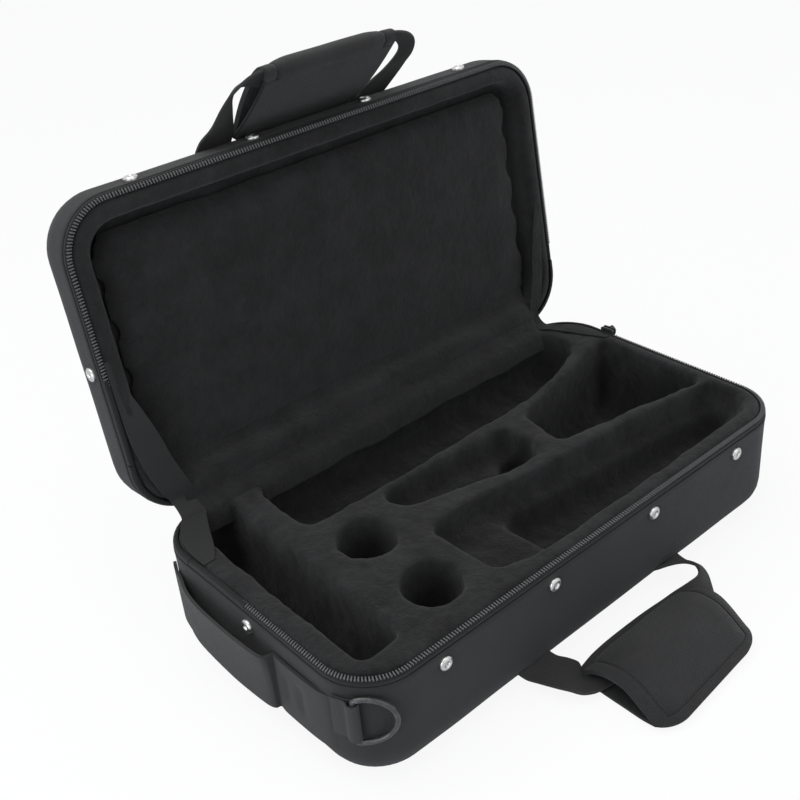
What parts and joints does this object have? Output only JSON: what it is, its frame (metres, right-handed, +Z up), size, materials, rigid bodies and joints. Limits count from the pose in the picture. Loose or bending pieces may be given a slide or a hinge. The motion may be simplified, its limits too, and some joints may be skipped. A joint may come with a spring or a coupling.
{
  "type": "clarinet case",
  "caption": "Soft-sided zip case for a clarinet taken apart: hinged padded lid, moulded plush insert with fitted pockets, webbing handles, carrying strap and D rings.",
  "frame": {"origin": "centre of the base's flat underside", "axes": "+X along the case's length to its right end, +Y towards the hinge, +Z up from the surface it lies on"},
  "size_m": [0.3748, 0.3322, 0.3093],
  "materials": {
    "oxford_fabric": "matt woven, black",
    "plush": "short velvet pile, black",
    "stiffener_board": "raw ply board",
    "webbing": "ribbed woven tape, black",
    "zip_tape": "fine woven tape, black",
    "zip_coil": "satin nylon, black",
    "ribbon": "smooth tape, dark grey",
    "nickel": "bright nickel",
    "dark_metal": "dark plated"
  },
  "bodies": {
    "base": {"base_cover": "oxford_fabric", "base_board": "stiffener_board", "base_insert": "plush", "base_zip_tape": "zip_tape", "base_zip_coil": "zip_coil", "base_hinge_band": "webbing", "base_rivet_front_1": "nickel", "base_rivet_front_2": "nickel", "base_rivet_front_3": "nickel", "base_rivet_front_4": "nickel", "base_rivet_left": "nickel", "base_rivet_right": "nickel", "hinge_strip": "oxford_fabric", "hinge_lining": "plush", "stay_ribbon_left": "ribbon", "stay_ribbon_right": "ribbon", "side_strap": "webbing", "d_ring_left_tab": "webbing", "d_ring_right_tab": "webbing"},
    "lid": {"lid_cover": "oxford_fabric", "lid_board": "stiffener_board", "lid_wall_padding": "plush", "lid_pad": "plush", "lid_zip_tape": "zip_tape", "lid_zip_coil": "zip_coil", "lid_hinge_band": "webbing", "lid_rivet_front_1": "nickel", "lid_rivet_front_2": "nickel", "lid_rivet_front_3": "nickel", "lid_rivet_front_4": "nickel", "lid_rivet_left": "nickel", "lid_rivet_right": "nickel"},
    "base_handle": {"base_handle_webbing": "webbing", "base_handle_grip": "oxford_fabric"},
    "lid_handle": {"lid_handle_webbing": "webbing", "lid_handle_grip": "oxford_fabric"},
    "ring_left": {"d_ring_left": "dark_metal"},
    "ring_right": {"d_ring_right": "dark_metal"},
    "slider": {"zip_slider": "dark_metal"},
    "pull": {"zip_pull": "dark_metal"}
  },
  "joints": [
    {"name": "lid_hinge", "type": "hinge", "parent": "base", "child": "lid", "pos_m": [0, 0.0968, 0.0748], "axis": [1, 0, 0], "range_deg": [0, 98.3], "deforming": ["hinge_strip", "hinge_lining", "stay_ribbon_left", "stay_ribbon_right"]},
    {"name": "base_handle_swing", "type": "hinge", "parent": "base", "child": "base_handle", "pos_m": [0, -0.0954, 0.0115], "axis": [-1, 0, 0], "range_deg": [0, 30]},
    {"name": "lid_handle_swing", "type": "hinge", "parent": "lid", "child": "lid_handle", "pos_m": [0, 0.15596, 0.25865], "axis": [-1, 0, 0], "range_deg": [0, 60]},
    {"name": "ring_left_swing", "type": "hinge", "parent": "base", "child": "ring_left", "pos_m": [-0.17674, -0.08382, 0.049], "axis": [0, 0, -1], "range_deg": [0, 90]},
    {"name": "ring_right_swing", "type": "hinge", "parent": "base", "child": "ring_right", "pos_m": [0.17674, 0.08382, 0.049], "axis": [0, 0, -1], "range_deg": [0, 90]},
    {"name": "slider_run", "type": "slide", "parent": "base", "child": "slider", "axis": [0, -1, 0], "range_m": [0, 0.105]},
    {"name": "pull_swing", "type": "hinge", "parent": "slider", "child": "pull", "pos_m": [0.1836, 0.0499, 0.0748], "axis": [0, -1, 0], "range_deg": [0, 165]}
  ]
}
